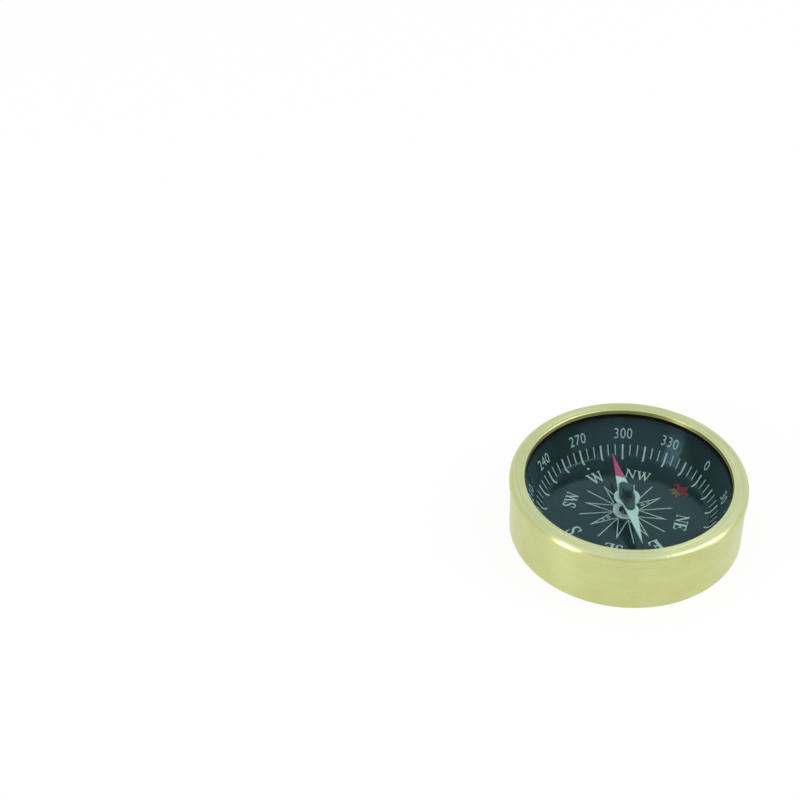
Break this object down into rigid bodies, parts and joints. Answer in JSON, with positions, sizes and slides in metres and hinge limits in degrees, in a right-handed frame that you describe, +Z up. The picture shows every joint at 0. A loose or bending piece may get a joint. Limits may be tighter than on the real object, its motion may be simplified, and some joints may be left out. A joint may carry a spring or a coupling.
{
  "type": "magnetic compass",
  "caption": "Round open-face magnetic compass: flat-based brass drum, screwed bezel, flat glass, dished black degree dial and a balanced needle that turns on a steel point.",
  "frame": {"origin": "centre of the flat base, on the surface that the compass stands on", "axes": "+Z up along the needle's pivot axis, +Y through the dial's north mark, +X through its east mark"},
  "size_m": [0.0506, 0.0506, 0.014],
  "materials": {
    "case_brass": "satin turned brass, pale greenish yellow",
    "crystal_glass": "clear flat glass",
    "gasket_rubber": "matt black packing",
    "dial_black": "black lacquer with pale printed scale",
    "post_nickel": "satin nickel plate",
    "small_brass": "plain turned brass",
    "pin_steel": "ground steel",
    "needle_paint": "pale paint with a red north end",
    "cap_black": "black moulding, soft gloss",
    "jewel_glass": "polished glass cup",
    "dial_print": "pale printed scale on the dial",
    "north_print": "red and gold printed north mark on the dial"
  },
  "bodies": {
    "case": {"case_drum": "case_brass", "base_plate": "case_brass", "bezel_ring": "case_brass", "crystal": "crystal_glass", "crystal_gasket": "gasket_rubber", "dial_cup": "dial_black", "pivot_post": "post_nickel", "pivot_washer": "small_brass", "pivot_nut": "small_brass", "pivot_pin": "pin_steel"},
    "bearing": {"needle_jewel": "jewel_glass"},
    "needle": {"needle_blade": "needle_paint", "needle_cap": "cap_black", "needle_collar": "small_brass"}
  },
  "joints": [
    {"name": "needle_turn", "type": "hinge", "parent": "case", "child": "bearing", "pos_m": [0, 0, 0.00985], "axis": [0, 0, 1], "continuous": true},
    {"name": "needle_dip", "type": "hinge", "parent": "bearing", "child": "needle", "pos_m": [0, 0, 0.00985], "axis": [-0.3322, -0.9432, 0], "range_deg": [-6, 6]}
  ]
}
